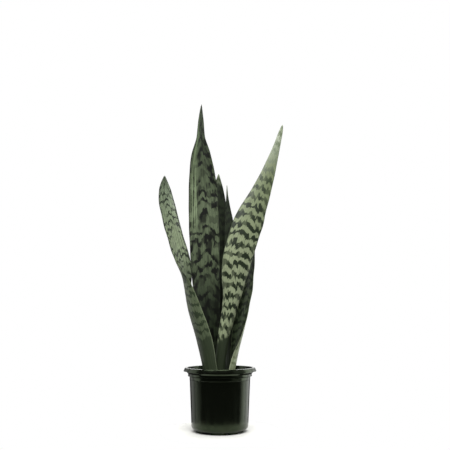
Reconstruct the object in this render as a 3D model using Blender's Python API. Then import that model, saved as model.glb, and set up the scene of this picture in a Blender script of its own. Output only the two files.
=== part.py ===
"""Snake plant in a round nursery pot: the pot, the potting mix, the rhizome and six leaves.

Metres, +Z up. The origin is on the pot's axis, at the level of the surface that it stands on.
The front of the plant faces -Y.
"""

import math
from typing import NamedTuple

import bmesh
import bpy
import numpy as np
from mathutils import Matrix, Vector

# ---------------------------------------------------------------- pot
POT_HEIGHT = 0.126
BODY_RADIUS = 0.0626  # outside of the body, just under the bands
BODY_TAPER = 0.0044  # how much smaller the body is at its foot
WALL = 0.0016
CORNER_RADIUS = 0.0085  # rounded edge between the body and the floor
ROUND_SEGMENTS = 44

MOUTH_STEP = 0.0049  # the mouth is this much wider than the body
LIP_WIDTH = 0.0060  # from the mouth to the lip's outer edge
LIP_FLARE = 0.0025  # the skirt of the lip leans out by this much
LIP_DROP = 0.0070  # height of the skirt
LIP_ROUND = 0.0010

UPPER_BAND_STEP = 0.0037
UPPER_BAND_TOP = 0.0120  # below the rim
UPPER_BAND_FOOT = 0.0170
LOWER_BAND_STEP = 0.0006
LOWER_BAND_TOP = 0.0180
LOWER_BAND_FOOT = 0.0235
BAND_EDGE = 0.0004  # height of the slope at a band's edge
THROAT = 0.0030  # height of the slope between the upper band and the mouth

FOOT_HEIGHT = 0.0034
FOOT_INSET = 0.0082  # the ring of feet is this much smaller than the foot of the body
FOOT_WIDTH = 0.0040
WIDE_GAP = 0.0200
WIDE_GAP_ANGLES = (-32.5, 57.5, 147.5, 237.5)  # from the front, towards +X
NARROW_GAP = 0.0060
NARROW_GAP_ANGLES = (17.5, 107.5, 197.5, 287.5)
GAP_ROOF = 0.0004  # what is left of the ring over a gap

CENTRE_HOLE_RADIUS = 0.0060
DRAIN_LENGTH = 0.0110
DRAIN_WIDTH = 0.0070
DRAIN_INSET = 0.0090  # from the outside of the feet to the middle of a drain slot

# ---------------------------------------------------------------- potting mix and rhizome
CLEARANCE = 0.0003  # between pieces that touch
MIX_BELOW_RIM = 0.0220
MIX_MOUND = 0.0020  # the middle of the surface is this much higher than its edge

PLANTING_DEPTH = 0.0120  # from the edge of the mix's surface down to the leaves' feet
RHIZOME_RADIUS = 0.0100
RHIZOME_DEPTH = 0.0160  # from the leaves' feet down to the middle of the rhizome
KNOB_RADIUS = 0.0085  # the rhizome's short neck under each leaf
RHIZOME_SIDES = 14
RHIZOME_SWELL = 1.06  # joints of the stem, next to its rods
RHIZOME_TAPER = 0.96  # thin end of a rod, next to its thick end
RHIZOME_ROUTE = ("leaf_left", "leaf_front", "leaf_tall", "leaf_back", "leaf_inner")
RHIZOME_BRANCH = ("leaf_front", "leaf_right")
ROOT_RADIUS = 0.0022
ROOT_TIP_RADIUS = 0.0010
ROOT_DROP = 0.0420
ROOT_TIPS = (  # the leaf that a root starts under, and how far out its tip lies
    ("leaf_left", (-0.016, -0.010)),
    ("leaf_front", (-0.002, -0.024)),
    ("leaf_tall", (-0.026, 0.008)),
    ("leaf_back", (0.004, 0.012)),
    ("leaf_right", (0.016, -0.014)),
)

# ---------------------------------------------------------------- leaves
STATIONS = 22  # rows of faces along a leaf
COLUMNS = 8  # and across it
MARGIN_THICKNESS = 0.0010
MIDRIB_THICKNESS = ((0, 0.0048), (0.2, 0.0042), (0.5, 0.0032), (0.8, 0.0022), (1, 0.0010))
SLEEVE_ROWS = 2  # rows of faces of a leaf that reach above the mix
UP = Vector((0, 0, 1))


class Leaf(NamedTuple):
    """One leaf blade, as a strip bent round its midrib."""

    name: str
    colour: tuple  # sRGB
    spine: tuple  # midrib: x and y from the pot's axis, z above the leaf's foot
    width: tuple  # share of the length, width along the curved section
    bearing: tuple  # share of the length, where the inner face looks: 0 is -Y, 90 is +X
    curl: tuple  # share of the length, half the angle that the section bends through


LEAVES = (
    Leaf(
        name="leaf_left",
        colour=(0.44, 0.48, 0.39),
        spine=(
            (-0.022, -0.014, 0.000), (-0.042, -0.023, 0.090), (-0.065, -0.026, 0.161),
            (-0.084, -0.024, 0.253), (-0.107, -0.013, 0.336), (-0.121, 0.001, 0.401),
            (-0.124, 0.009, 0.449),
        ),
        width=(
            (0, 0.044), (0.10, 0.050), (0.20, 0.058), (0.36, 0.059), (0.46, 0.057), (0.56, 0.052),
            (0.67, 0.047), (0.83, 0.043), (0.92, 0.032), (0.96, 0.019), (1, 0.002),
        ),
        bearing=((0, 140), (0.20, 128), (0.36, 113), (0.46, 89), (0.56, 52), (0.83, 38), (1, 34)),
        curl=((0, 76), (0.20, 68), (0.46, 59), (0.56, 36), (0.67, 26), (0.83, 18), (1, 12)),
    ),
    Leaf(
        name="leaf_tall",
        colour=(0.24, 0.28, 0.20),
        spine=(
            (-0.006, 0.018, 0.000), (-0.021, 0.021, 0.110), (-0.031, 0.024, 0.239),
            (-0.035, 0.024, 0.340), (-0.038, 0.021, 0.420), (-0.043, 0.015, 0.498),
            (-0.044, 0.010, 0.548), (-0.043, 0.004, 0.615),
        ),
        width=(
            (0, 0.038), (0.18, 0.050), (0.39, 0.065), (0.55, 0.070), (0.66, 0.068), (0.755, 0.057),
            (0.815, 0.044), (0.845, 0.032), (0.875, 0.0205), (0.937, 0.0130), (1, 0.0015),
        ),
        bearing=((0, 0), (0.5, -5), (1, -5)),
        curl=((0, 62), (0.18, 42), (0.40, 26), (0.70, 26), (1, 30)),
    ),
    Leaf(
        name="leaf_back",
        colour=(0.30, 0.34, 0.26),
        spine=(
            (0.002, 0.033, 0.000), (-0.004, 0.038, 0.110), (-0.012, 0.040, 0.241),
            (-0.011, 0.040, 0.342), (-0.006, 0.038, 0.411), (-0.004, 0.036, 0.461),
        ),
        width=(
            (0, 0.030), (0.30, 0.042), (0.60, 0.052), (0.80, 0.047), (0.92, 0.025), (0.97, 0.010),
            (1, 0.0012),
        ),
        bearing=((0, 0), (1, 0)),
        curl=((0, 60), (0.40, 35), (1, 15)),
    ),
    Leaf(
        name="leaf_inner",
        colour=(0.21, 0.24, 0.18),
        spine=(
            (0.020, 0.022, 0.000), (0.023, 0.026, 0.110), (0.023, 0.028, 0.238),
            (0.020, 0.028, 0.338), (0.016, 0.027, 0.394), (0.015, 0.026, 0.432),
        ),
        width=(
            (0, 0.026), (0.30, 0.030), (0.60, 0.030), (0.80, 0.020), (0.90, 0.009), (0.95, 0.004),
            (1, 0.0012),
        ),
        bearing=((0, 10), (1, 10)),
        curl=((0, 60), (0.40, 35), (1, 25)),
    ),
    Leaf(
        name="leaf_front",
        colour=(0.45, 0.49, 0.40),
        spine=(
            (-0.005, -0.009, 0.000), (0.005, -0.014, 0.087), (0.022, -0.019, 0.168),
            (0.034, -0.023, 0.250), (0.059, -0.024, 0.334), (0.095, -0.022, 0.421),
            (0.125, -0.020, 0.510), (0.138, -0.020, 0.557),
        ),
        width=(
            (0, 0.028), (0.15, 0.030), (0.22, 0.034), (0.30, 0.041), (0.37, 0.054), (0.44, 0.064),
            (0.51, 0.066), (0.59, 0.066), (0.67, 0.0525), (0.75, 0.0385), (0.83, 0.0265),
            (0.91, 0.0155), (0.975, 0.0082), (1, 0.002),
        ),
        bearing=((0, 170), (0.5, 175), (1, 180)),
        curl=((0, 72), (0.15, 68), (0.22, 60), (0.30, 48), (0.44, 28), (0.60, 20), (1, 12)),
    ),
    Leaf(
        name="leaf_right",
        colour=(0.28, 0.32, 0.24),
        spine=(
            (0.023, -0.002, 0.000), (0.038, -0.002, 0.073), (0.047, 0.000, 0.127),
            (0.058, 0.003, 0.194), (0.064, 0.005, 0.248), (0.067, 0.007, 0.308),
            (0.064, 0.008, 0.358),
        ),
        width=((0, 0.036), (0.25, 0.042), (0.50, 0.042), (0.75, 0.032), (0.92, 0.014), (1, 0.0015)),
        bearing=((0, -98), (0.12, -88), (0.35, -48), (0.60, -42), (1, -40)),
        curl=((0, 76), (0.12, 74), (0.35, 46), (0.60, 34), (1, 18)),
    ),
)

MIX_EDGE_Z = POT_HEIGHT - MIX_BELOW_RIM
LEAF_FOOT_Z = MIX_EDGE_Z - PLANTING_DEPTH
RHIZOME_Z = LEAF_FOOT_Z - RHIZOME_DEPTH
RHIZOME_JOINTS = {leaf.name: Vector((*leaf.spine[0][:2], RHIZOME_Z)) for leaf in LEAVES}
FLOOR_Z = FOOT_HEIGHT + WALL  # inside of the floor
MOUTH_RADIUS = BODY_RADIUS + MOUTH_STEP
BODY_FOOT_RADIUS = BODY_RADIUS - BODY_TAPER
FEET_RADIUS = BODY_FOOT_RADIUS - FOOT_INSET


# ---------------------------------------------------------------- scene and objects
def clear_scene() -> None:
    """Remove every object that the scene starts with."""
    for item in list(bpy.data.objects):
        bpy.data.objects.remove(item, do_unlink=True)


def material(name: str, srgb: tuple, roughness: float) -> bpy.types.Material:
    """A plain non-metallic Principled material."""
    made = bpy.data.materials.new(name)
    made.use_nodes = True
    shader = made.node_tree.nodes["Principled BSDF"]
    shader.inputs["Base Color"].default_value = (*(c**2.2 for c in srgb), 1)
    shader.inputs["Roughness"].default_value = roughness
    shader.inputs["Metallic"].default_value = 0.0
    return made


def add_object(name: str, bm: bmesh.types.BMesh, finish=None) -> bpy.types.Object:
    """Turn a bmesh into a linked object and free it."""
    mesh = bpy.data.meshes.new(name)
    bm.to_mesh(mesh)
    bm.free()
    item = bpy.data.objects.new(name, mesh)
    bpy.context.scene.collection.objects.link(item)
    if finish:
        mesh.materials.append(finish)
    return item


def as_cutter(item: bpy.types.Object) -> bpy.types.Object:
    """Keep an object out of the model: it only shapes another one."""
    item.hide_render = True
    item.display_type = "WIRE"
    return item


def join_or_cut(
    item: bpy.types.Object, operand: bpy.types.Object, operation: str, crossing: bool = False
) -> None:
    """Add an exact Boolean; crossing says that the operand's own pieces pass through each other."""
    boolean = item.modifiers.new(operation.title(), "BOOLEAN")
    boolean.operation = operation
    boolean.solver = "EXACT"
    boolean.use_self = crossing
    boolean.object = operand


def shade_round(item: bpy.types.Object, sharp_angle: float) -> None:
    """Smooth shading with edges sharper than the angle (degrees) kept crisp."""
    item.data.shade_smooth()
    item.data.set_sharp_from_angle(angle=math.radians(sharp_angle))


# ---------------------------------------------------------------- shapes
def arc(centre: tuple, radius: float, start: float, end: float, steps: int) -> list:
    """Points (r, z) of an arc; angles in degrees, 0 outwards and 90 up."""
    angles = [math.radians(start + (end - start) * i / steps) for i in range(steps + 1)]
    return [(centre[0] + radius * math.cos(a), centre[1] + radius * math.sin(a)) for a in angles]


def lathe(profile: list, closed: bool) -> bmesh.types.BMesh:
    """Turn a profile of (r, z) points round the Z axis."""
    bm = bmesh.new()
    points = [bm.verts.new((r, 0, z)) for r, z in profile]
    edges = [bm.edges.new(pair) for pair in zip(points, points[1:])]
    if closed:
        edges.append(bm.edges.new((points[-1], points[0])))
    bmesh.ops.spin(
        bm, geom=points + edges, cent=(0, 0, 0), axis=UP, angle=math.tau,
        steps=ROUND_SEGMENTS, use_merge=True,
    )
    bmesh.ops.remove_doubles(bm, verts=bm.verts, dist=1e-6)
    bmesh.ops.recalc_face_normals(bm, faces=bm.faces)
    return bm


def add_block(bm: bmesh.types.BMesh, angle: float, middle: tuple, size: tuple) -> None:
    """Add a box at (r, z), turned to an angle from the front towards +X.

    The size is across, along the radius and up."""
    place = Matrix.Rotation(math.radians(angle), 4, "Z") @ Matrix.Translation((0, -middle[0], middle[1]))
    bmesh.ops.create_cube(bm, size=1, matrix=place @ Matrix.Diagonal((*size, 1)))


def add_rod(bm: bmesh.types.BMesh, start: Vector, end: Vector, radii: tuple) -> None:
    """Add a closed tapered rod between two points."""
    along = end - start
    turn = along.to_track_quat("Z", "Y").to_matrix().to_4x4()
    bmesh.ops.create_cone(
        bm, cap_ends=True, cap_tris=False, segments=RHIZOME_SIDES, radius1=radii[0],
        radius2=radii[1], depth=along.length,
        matrix=Matrix.Translation((start + end) / 2) @ turn,
    )


def add_ball(bm: bmesh.types.BMesh, middle: Vector, radius: float) -> None:
    """Add a ball of 80 faces."""
    bmesh.ops.create_icosphere(
        bm, subdivisions=2, radius=radius, matrix=Matrix.Translation(middle)
    )


# ---------------------------------------------------------------- leaf surface
def blend(knots: tuple, at: np.ndarray) -> np.ndarray:
    """Monotone cubic through (position, value) knots."""
    x, y = np.array(knots, float).T
    step = np.diff(x)
    slope = np.diff(y) / step
    tangent = np.concatenate([slope[:1], np.zeros(len(x) - 2), slope[-1:]])
    for i in range(1, len(x) - 1):
        before, after = slope[i - 1], slope[i]
        if before * after > 0:
            near = 2 * step[i] + step[i - 1]
            far = step[i] + 2 * step[i - 1]
            tangent[i] = (near + far) / (near / before + far / after)
    i = np.clip(np.searchsorted(x, at, side="right") - 1, 0, len(x) - 2)
    u = (at - x[i]) / step[i]
    return (
        (2 * u**3 - 3 * u**2 + 1) * y[i]
        + (u**3 - 2 * u**2 + u) * step[i] * tangent[i]
        + (3 * u**2 - 2 * u**3) * y[i + 1]
        + (u**3 - u**2) * step[i] * tangent[i + 1]
    )


def thread(points: tuple, at: np.ndarray) -> np.ndarray:
    """Smooth curve through points; positions are shares of the chords' whole length."""
    p = np.array(points, float)
    chord = np.linalg.norm(np.diff(p, axis=0), axis=1)
    x = np.concatenate([[0], np.cumsum(chord)]) / chord.sum()
    step = np.diff(x)[:, None]
    slope = np.diff(p, axis=0) / step
    inner = (slope[:-1] * step[1:] + slope[1:] * step[:-1]) / (step[:-1] + step[1:])
    tangent = np.vstack([2 * slope[0] - inner[0], inner, 2 * slope[-1] - inner[-1]])
    i = np.clip(np.searchsorted(x, at, side="right") - 1, 0, len(x) - 2)
    u = ((at - x[i]) / step[i, 0])[:, None]
    return (
        (2 * u**3 - 3 * u**2 + 1) * p[i]
        + (u**3 - 2 * u**2 + u) * step[i] * tangent[i]
        + (3 * u**2 - 2 * u**3) * p[i + 1]
        + (u**3 - u**2) * step[i] * tangent[i + 1]
    )


def leaf_rows(leaf: Leaf, grow: float) -> np.ndarray:
    """Rows of points across a leaf's middle surface, from its foot to its tip.

    The strip is wider by the given allowance at each margin, and starts lower by as much."""
    share = np.linspace(0, 1, STATIONS + 1)
    spine = thread(leaf.spine, share)
    tangent = np.gradient(spine, share, axis=0)
    tangent /= np.linalg.norm(tangent, axis=1)[:, None]
    bearing = np.radians(blend(leaf.bearing, share))
    inward = np.stack([np.sin(bearing), -np.cos(bearing), np.zeros_like(bearing)], axis=1)
    inward -= tangent * (inward * tangent).sum(axis=1)[:, None]
    inward /= np.linalg.norm(inward, axis=1)[:, None]
    sideways = np.cross(tangent, inward)
    curl = np.radians(blend(leaf.curl, share))
    width = blend(leaf.width, share)
    radius = width / (2 * curl)
    half_angle = (width / 2 + grow) / radius
    angle = np.linspace(-1, 1, COLUMNS + 1)[None, :] * half_angle[:, None]
    spine[0] -= tangent[0] * grow
    spine[:, 2] += LEAF_FOOT_Z
    return (
        spine[:, None]
        + sideways[:, None] * (radius[:, None] * np.sin(angle))[..., None]
        + inward[:, None] * (radius[:, None] * (1 - np.cos(angle)))[..., None]
    )


def leaf_strip(leaf: Leaf, rows: int, grow: float = 0.0) -> tuple:
    """A grid bent to the leaf's middle surface, and the share of full thickness at each point."""
    surface = leaf_rows(leaf, grow)
    bm = bmesh.new()
    bmesh.ops.create_grid(bm, x_segments=COLUMNS, y_segments=rows, size=0.5)
    bm.verts.ensure_lookup_table()
    full = MIDRIB_THICKNESS[0][1] + 2 * grow
    weights = []
    for vert in bm.verts:
        column = round((vert.co.x + 0.5) * COLUMNS)
        row = round((vert.co.y + 0.5) * rows)
        middle = float(blend(MIDRIB_THICKNESS, np.array([row / STATIONS]))[0])
        rim = min(MARGIN_THICKNESS, middle)
        across = 2 * column / COLUMNS - 1
        thickness = rim + (middle - rim) * (1 - across**2) + 2 * grow
        weights.append(thickness / full)
        vert.co = Vector(surface[row, column])
    return bm, weights, full


def thicken(item: bpy.types.Object, weights: list, full: float) -> None:
    """Give a strip its thickness, half on each face."""
    group = item.vertex_groups.new(name="thickness")
    for index, weight in enumerate(weights):
        group.add([index], weight, "REPLACE")
    solid = item.modifiers.new("Thickness", "SOLIDIFY")
    solid.thickness = full
    solid.offset = 0.0
    solid.vertex_group = group.name
    solid.thickness_vertex_group = 0.0


# ---------------------------------------------------------------- pieces
def pot_walls() -> tuple:
    """The pot's outside from floor to lip, and its inside from lip to floor, as (r, z) points."""
    corner_z = FOOT_HEIGHT + CORNER_RADIUS
    under = arc((BODY_FOOT_RADIUS - CORNER_RADIUS, corner_z), CORNER_RADIUS, -80, 0, 4)
    lower_foot = POT_HEIGHT - LOWER_BAND_FOOT
    lower_top = POT_HEIGHT - LOWER_BAND_TOP
    upper_foot = POT_HEIGHT - UPPER_BAND_FOOT
    upper_top = POT_HEIGHT - UPPER_BAND_TOP
    lower = BODY_RADIUS + LOWER_BAND_STEP
    upper = BODY_RADIUS + UPPER_BAND_STEP
    skirt_root = MOUTH_RADIUS + WALL
    skirt_z = POT_HEIGHT - LIP_DROP
    lip_radius = MOUTH_RADIUS + LIP_WIDTH
    outside = under + [
        (BODY_RADIUS, lower_foot - BAND_EDGE),
        (lower, lower_foot),
        (lower, lower_top),
        (BODY_RADIUS, lower_top + BAND_EDGE),
        (upper, upper_foot),
        (upper, upper_top),
        (skirt_root, upper_top + THROAT),
        (skirt_root, POT_HEIGHT - WALL),
        (lip_radius - WALL, POT_HEIGHT - WALL),
        (lip_radius + LIP_FLARE - WALL, skirt_z),
        (lip_radius + LIP_FLARE, skirt_z),
    ]
    outside += arc((lip_radius - LIP_ROUND, POT_HEIGHT - LIP_ROUND), LIP_ROUND, 15, 90, 3)
    inside = arc((MOUTH_RADIUS + LIP_ROUND, POT_HEIGHT - LIP_ROUND), LIP_ROUND, 90, 180, 3)
    inside += [
        (MOUTH_RADIUS, upper_top + THROAT),
        (upper - WALL, upper_top),
        (upper - WALL, upper_foot),
        (BODY_RADIUS - WALL, upper_foot - BAND_EDGE),
        (BODY_RADIUS - WALL, lower_foot),
    ]
    inner_corner = CORNER_RADIUS - WALL
    inside += arc((BODY_FOOT_RADIUS - CORNER_RADIUS, corner_z), inner_corner, 0, -90, 4)
    return outside, inside


def build_pot() -> bpy.types.Object:
    """A thin-walled pot: turned-down lip, two bands, tapered body, feet and drain holes."""
    outside, inside = pot_walls()
    feet = [
        (CENTRE_HOLE_RADIUS, FOOT_HEIGHT),
        (FEET_RADIUS - FOOT_WIDTH, FOOT_HEIGHT),
        (FEET_RADIUS - FOOT_WIDTH + 0.0006, 0),
        (FEET_RADIUS - 0.0006, 0),
        (FEET_RADIUS, FOOT_HEIGHT),
    ]
    profile = feet + outside + inside + [(CENTRE_HOLE_RADIUS, FLOOR_Z)]
    finish = material("black_polypropylene", (0.10, 0.12, 0.09), 0.38)
    pot = add_object("pot", lathe(profile, closed=True), finish)
    cuts = bmesh.new()
    gap_height = 2 * (FOOT_HEIGHT - GAP_ROOF)
    ring_middle = (FEET_RADIUS - FOOT_WIDTH / 2, 0)
    for width, angles in ((WIDE_GAP, WIDE_GAP_ANGLES), (NARROW_GAP, NARROW_GAP_ANGLES)):
        for angle in angles:
            add_block(cuts, angle, ring_middle, (width, 3 * FOOT_WIDTH, gap_height))
    drain_height = 2 * WALL
    drain_middle = (FEET_RADIUS - DRAIN_INSET, FOOT_HEIGHT - GAP_ROOF / 2 + drain_height / 2)
    for angle in WIDE_GAP_ANGLES:
        add_block(cuts, angle, drain_middle, (DRAIN_LENGTH, DRAIN_WIDTH, drain_height))
    cutter = as_cutter(add_object("pot_openings", cuts))
    join_or_cut(pot, cutter, "DIFFERENCE")
    shade_round(pot, 35)
    return pot


def build_leaf(leaf: Leaf) -> bpy.types.Object:
    """A leaf from its foot in the mix to its tip."""
    bm, weights, full = leaf_strip(leaf, STATIONS)
    item = add_object(leaf.name, bm, material(f"{leaf.name}_blade", leaf.colour, 0.42))
    thicken(item, weights, full)
    shade_round(item, 60)
    return item


def lowest_point(item: bpy.types.Object) -> float:
    """The lowest height of an object's evaluated mesh."""
    evaluated = item.evaluated_get(bpy.context.evaluated_depsgraph_get())
    return min(vert.co.z for vert in evaluated.data.vertices)


def rhizome_solid(leaf_feet: dict, grow: float) -> bmesh.types.BMesh:
    """The rhizome as crossing rods and balls: creeping stem, branch, necks and roots."""
    bm = bmesh.new()
    radius = RHIZOME_RADIUS + grow
    thin = radius * RHIZOME_TAPER
    neck = KNOB_RADIUS + grow
    for name, joint in RHIZOME_JOINTS.items():
        add_ball(bm, joint, radius * RHIZOME_SWELL)
        top = leaf_feet[name] - CLEARANCE + grow
        add_rod(bm, joint, Vector((joint.x, joint.y, top)), (neck, neck))
    for route in (RHIZOME_ROUTE, RHIZOME_BRANCH):
        for near, far in zip(route, route[1:]):
            add_rod(bm, RHIZOME_JOINTS[near], RHIZOME_JOINTS[far], (radius, thin))
    for name, (out_x, out_y) in ROOT_TIPS:
        start = RHIZOME_JOINTS[name]
        end = start + Vector((out_x, out_y, -ROOT_DROP - grow))
        add_rod(bm, start, end, (ROOT_RADIUS + grow, ROOT_TIP_RADIUS + grow))
    return bm


def build_rhizome(leaf_feet: dict) -> bpy.types.Object:
    """The creeping underground stem that every leaf rises from."""
    finish = material("rhizome_skin", (0.62, 0.50, 0.30), 0.6)
    core = bmesh.new()
    first, second = (RHIZOME_JOINTS[name] for name in RHIZOME_ROUTE[:2])
    add_rod(core, first, second, (RHIZOME_RADIUS / 2, RHIZOME_RADIUS / 2))
    item = add_object("rhizome", core, finish)
    limbs = as_cutter(add_object("rhizome_limbs", rhizome_solid(leaf_feet, 0.0)))
    join_or_cut(item, limbs, "UNION", crossing=True)
    shade_round(item, 40)
    return item


def build_mix(leaf_feet: dict) -> bpy.types.Object:
    """The potting mix: it fills the pot, with room for the leaves' feet and the rhizome."""
    _, inside = pot_walls()
    wall = [(r - CLEARANCE, z + CLEARANCE) for r, z in reversed(inside) if z < MIX_EDGE_Z]
    above = next(point for point in reversed(inside) if point[1] >= MIX_EDGE_Z)
    share = (MIX_EDGE_Z - wall[-1][1]) / (above[1] - wall[-1][1])
    edge = wall[-1][0] + (above[0] - CLEARANCE - wall[-1][0]) * share
    top = [
        (edge - 0.0010, MIX_EDGE_Z),
        (edge * 0.6, MIX_EDGE_Z + MIX_MOUND * 0.7),
        (0, MIX_EDGE_Z + MIX_MOUND),
    ]
    profile = [(0, FLOOR_Z + CLEARANCE)] + wall + top
    mix = add_object("potting_mix", lathe(profile, closed=False), material("mix", (0.11, 0.09, 0.07), 0.95))
    room = rhizome_solid(leaf_feet, CLEARANCE)
    cavity = as_cutter(add_object("rhizome_room", room))
    join_or_cut(mix, cavity, "DIFFERENCE", crossing=True)
    for leaf in LEAVES:
        bm, weights, full = leaf_strip(leaf, STATIONS, CLEARANCE)
        high = [v for v in bm.verts if v.index // (COLUMNS + 1) > SLEEVE_ROWS]
        weights = [w for w, v in zip(weights, bm.verts) if v not in set(high)]
        bmesh.ops.delete(bm, geom=high, context="VERTS")
        sleeve = as_cutter(add_object(f"{leaf.name}_room", bm))
        thicken(sleeve, weights, full)
        join_or_cut(mix, sleeve, "DIFFERENCE")
    shade_round(mix, 40)
    return mix


clear_scene()
build_pot()
leaf_feet = {leaf.name: lowest_point(build_leaf(leaf)) for leaf in LEAVES}
build_rhizome(leaf_feet)
build_mix(leaf_feet)
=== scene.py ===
"""Looks of a potted snake plant: its blades, nursery pot, potting mix, rhizome and studio.

Metres, +Z up. The origin is on the pot's axis, on the surface that it stands on, and the front
of the plant faces -Y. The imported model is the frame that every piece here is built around.
"""

import logging
import math
import random
from dataclasses import dataclass
from enum import Enum

import bmesh
import bpy
import numpy as np
from mathutils import Matrix, Vector, noise

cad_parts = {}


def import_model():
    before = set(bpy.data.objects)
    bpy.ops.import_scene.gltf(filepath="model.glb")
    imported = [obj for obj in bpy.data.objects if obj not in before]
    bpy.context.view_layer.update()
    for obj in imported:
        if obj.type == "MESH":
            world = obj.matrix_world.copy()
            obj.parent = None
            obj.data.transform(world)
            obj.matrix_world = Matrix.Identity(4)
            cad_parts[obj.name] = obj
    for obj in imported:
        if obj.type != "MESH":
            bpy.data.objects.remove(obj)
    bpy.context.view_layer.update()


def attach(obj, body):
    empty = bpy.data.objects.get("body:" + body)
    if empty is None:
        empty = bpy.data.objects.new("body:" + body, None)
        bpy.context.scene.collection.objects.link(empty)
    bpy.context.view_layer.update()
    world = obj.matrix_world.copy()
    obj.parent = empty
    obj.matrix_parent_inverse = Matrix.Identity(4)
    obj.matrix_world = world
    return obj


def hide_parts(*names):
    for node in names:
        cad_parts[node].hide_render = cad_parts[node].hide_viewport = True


LOG = logging.getLogger("snake_plant")
BODY = "root"
BLADE_MAP = "blade"  # across in shares of the half width, along in metres
MIX_COLOUR, MIX_A, MIX_B = 0, 6, 7  # a colour Mix node's factor and its two colours
MIX_RESULT = 2
POT_HEIGHT = 0.126
MIX_EDGE_Z = 0.104  # surface of the mix at the pot's wall
MIX_MOUND = 0.002  # the middle of the surface is this much higher
LEAF_FOOT_Z = 0.092
MERGE_DISTANCE = 1e-6
LEVEL_SLACK = 1e-4  # faces that are nearer to a level than this lie on it

Stops = tuple[tuple[float, str], ...]
Knots = tuple[tuple[float, float], ...]
Points = tuple[tuple[float, float, float], ...]


class Slot(Enum):
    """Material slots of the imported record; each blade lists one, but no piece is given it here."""

    POT = "pot_plastic"
    MIX = "potting_mix"
    PALE_LEAF = "leaf_pale"
    DARK_LEAF = "leaf_dark"


class Face(Enum):
    """Faces of a blade, each with the place of its finish on the mesh."""

    OUTER = 0
    INNER = 1


# ---------------------------------------------------------------- objects and nodes
def linear(colour: str) -> tuple[float, float, float, float]:
    """Turn an sRGB hex colour into linear RGBA."""
    shares = [int(colour[i : i + 2], 16) / 255 for i in (0, 2, 4)]
    return (*(c / 12.92 if c <= 0.04045 else ((c + 0.055) / 1.055) ** 2.4 for c in shares), 1.0)


def add_node(
    tree: bpy.types.NodeTree, kind: str, inputs: dict[int | str, object] | None = None, **settings: object
) -> bpy.types.Node:
    """Add a shader node with its settings and its inputs.

    Args:
        tree: the material's or the world's node tree.
        kind: the node's type, without the ShaderNode that starts it.
        inputs: for each input's name or place, the node or output that feeds it, or its value.
        settings: the node's own attributes.

    Returns:
        The new node.
    """
    node = tree.nodes.new("ShaderNode" + kind)
    for name, value in settings.items():
        setattr(node, name, value)
    for key, value in (inputs or {}).items():
        if isinstance(value, bpy.types.Node):
            value = value.outputs[0]
        if isinstance(value, bpy.types.NodeSocket):
            tree.links.new(value, node.inputs[key])
        else:
            node.inputs[key].default_value = value
    return node


def set_stops(ramp: bpy.types.ShaderNodeValToRGB, stops: Stops) -> None:
    """Give a colour ramp its stops.

    Args:
        ramp: the ramp's node.
        stops: positions from 0 to 1 in rising order, each with a hex colour.
    """
    elements = ramp.color_ramp.elements
    elements.remove(elements[1])
    elements[0].position = stops[0][0]
    elements[0].color = linear(stops[0][1])
    for position, colour in stops[1:]:
        elements.new(position).color = linear(colour)


def new_material(
    name: str, **constants: float | tuple[float, ...]
) -> tuple[bpy.types.Material, bpy.types.Node]:
    """Start a Principled material.

    Args:
        name: the material's name.
        constants: shader inputs that are the same all over, with spaces written as underscores.

    Returns:
        The material and its shader's node.
    """
    material = bpy.data.materials.new(name)
    material.use_nodes = True
    shader = material.node_tree.nodes["Principled BSDF"]
    for key, value in constants.items():
        shader.inputs[key.replace("_", " ").replace("Ior", "IOR")].default_value = value
    return material, shader


def link_surface(
    tree: bpy.types.NodeTree,
    shader: bpy.types.Node,
    colour: bpy.types.NodeSocket,
    roughness: bpy.types.NodeSocket,
    height: bpy.types.NodeSocket,
    strength: float,
    depth: float,
) -> None:
    """Feed a shader its colour, roughness and relief.

    Args:
        tree: the material's node tree.
        shader: the Principled node.
        colour: output with the base colour.
        roughness: output with the roughness.
        height: output with the relief's height from 0 to 1.
        strength: how strongly the relief shows.
        depth: the relief's full height in metres.
    """
    bump = add_node(tree, "Bump", {"Strength": strength, "Distance": depth, "Height": height})
    tree.links.new(colour, shader.inputs["Base Color"])
    tree.links.new(roughness, shader.inputs["Roughness"])
    tree.links.new(bump.outputs[0], shader.inputs["Normal"])


def finish_mesh(
    name: str, bm: bmesh.types.BMesh, materials: list[bpy.types.Material], sharp_angle: float = 180
) -> bpy.types.Object:
    """Turn a bmesh into a smooth-shaded object with its place in its mesh.

    Args:
        name: the object's name.
        bm: the mesh, which is freed.
        materials: the finishes, in the order of the faces' material places.
        sharp_angle: edges that turn by more than this many degrees stay crisp.

    Returns:
        The object, linked to the scene.
    """
    mesh = bpy.data.meshes.new(name)
    bm.to_mesh(mesh)
    bm.free()
    for material in materials:
        mesh.materials.append(material)
    mesh.shade_smooth()
    if sharp_angle < 180:
        mesh.set_sharp_from_angle(angle=math.radians(sharp_angle))
    item = bpy.data.objects.new(name, mesh)
    bpy.context.scene.collection.objects.link(item)
    return item


def settle(item: bpy.types.Object, stands_for: str | None = None) -> None:
    """Tie a piece to the plant's body, and hide the CAD node that it replaces.

    Args:
        item: the finished piece.
        stands_for: the CAD node that it replaces, if any.
    """
    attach(item, BODY)
    if stands_for:
        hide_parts(stands_for)
    LOG.info("%s: %d faces", item.name, len(item.data.polygons))


def dress_node(name: str, finish: bpy.types.Material) -> None:
    """Give a CAD node that is kept its finish.

    Args:
        name: the node's name.
        finish: the material.
    """
    node = bpy.data.objects[name]
    node.data.materials.clear()
    node.data.materials.append(finish)
    LOG.info("%s: CAD node with its finish", name)


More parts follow.
